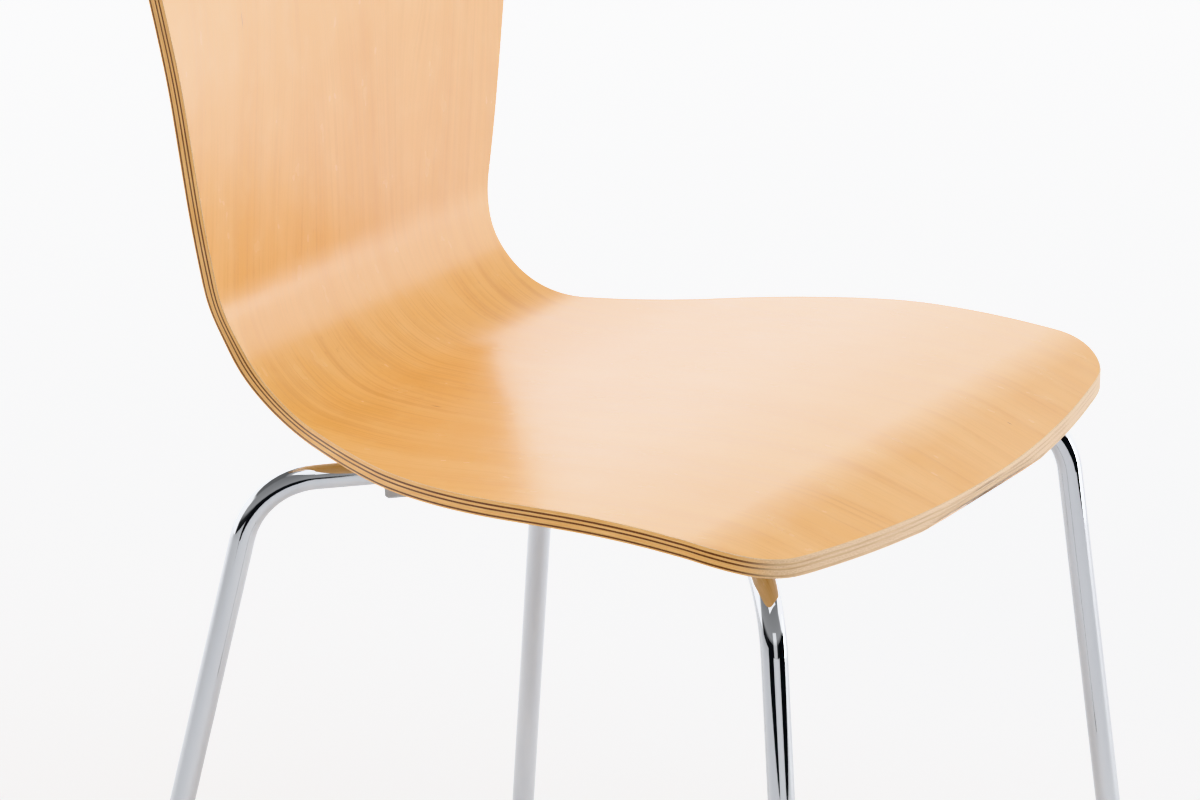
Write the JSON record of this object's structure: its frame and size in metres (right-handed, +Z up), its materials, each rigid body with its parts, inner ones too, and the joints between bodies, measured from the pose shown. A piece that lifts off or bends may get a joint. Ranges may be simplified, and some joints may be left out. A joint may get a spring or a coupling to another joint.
{
  "type": "stacking chair",
  "caption": "Armless stacking chair: a waisted shell of moulded plywood on a frame of bent, chromed steel tube.",
  "frame": {"origin": "on the floor, on the plane of symmetry, midway between the front feet and the rear feet", "axes": "+Z up, the sitter faces -Y, +X is the sitter's left"},
  "size_m": [0.4688, 0.5215, 0.844],
  "materials": {
    "face_veneer": "beech veneer, clear satin-gloss lacquer",
    "cross_veneer": "end grain of the cross plies, darkened by glue, lacquered",
    "core_veneer": "long grain of the core plies, lacquered",
    "block_plywood": "plywood, sanded",
    "chrome_frame": "polished chrome plate on steel tube",
    "zinc_steel": "bright zinc plate",
    "insert_brass": "turned brass",
    "grey_plastic": "moulded grey polypropylene, satin",
    "glide_plastic": "moulded dark grey polyethylene, satin"
  },
  "bodies": {
    "root": {"face_ply": "face_veneer", "upper_cross_ply": "cross_veneer", "upper_core_ply": "core_veneer", "centre_cross_ply": "cross_veneer", "centre_core_ply": "core_veneer", "lower_cross_ply": "cross_veneer", "back_ply": "face_veneer", "mounting_block": "block_plywood", "threaded_inserts": "insert_brass", "mounting_plate": "chrome_frame", "frame_welds": "chrome_frame", "front_leg_tube": "chrome_frame", "rear_leg_tube": "chrome_frame", "plate_washers": "zinc_steel", "plate_screws": "zinc_steel", "front_right_buffer": "grey_plastic", "front_left_buffer": "grey_plastic", "rear_right_buffer": "grey_plastic", "rear_left_buffer": "grey_plastic", "front_right_glide": "glide_plastic", "front_left_glide": "glide_plastic", "rear_right_glide": "glide_plastic", "rear_left_glide": "glide_plastic"}
  },
  "joints": []
}
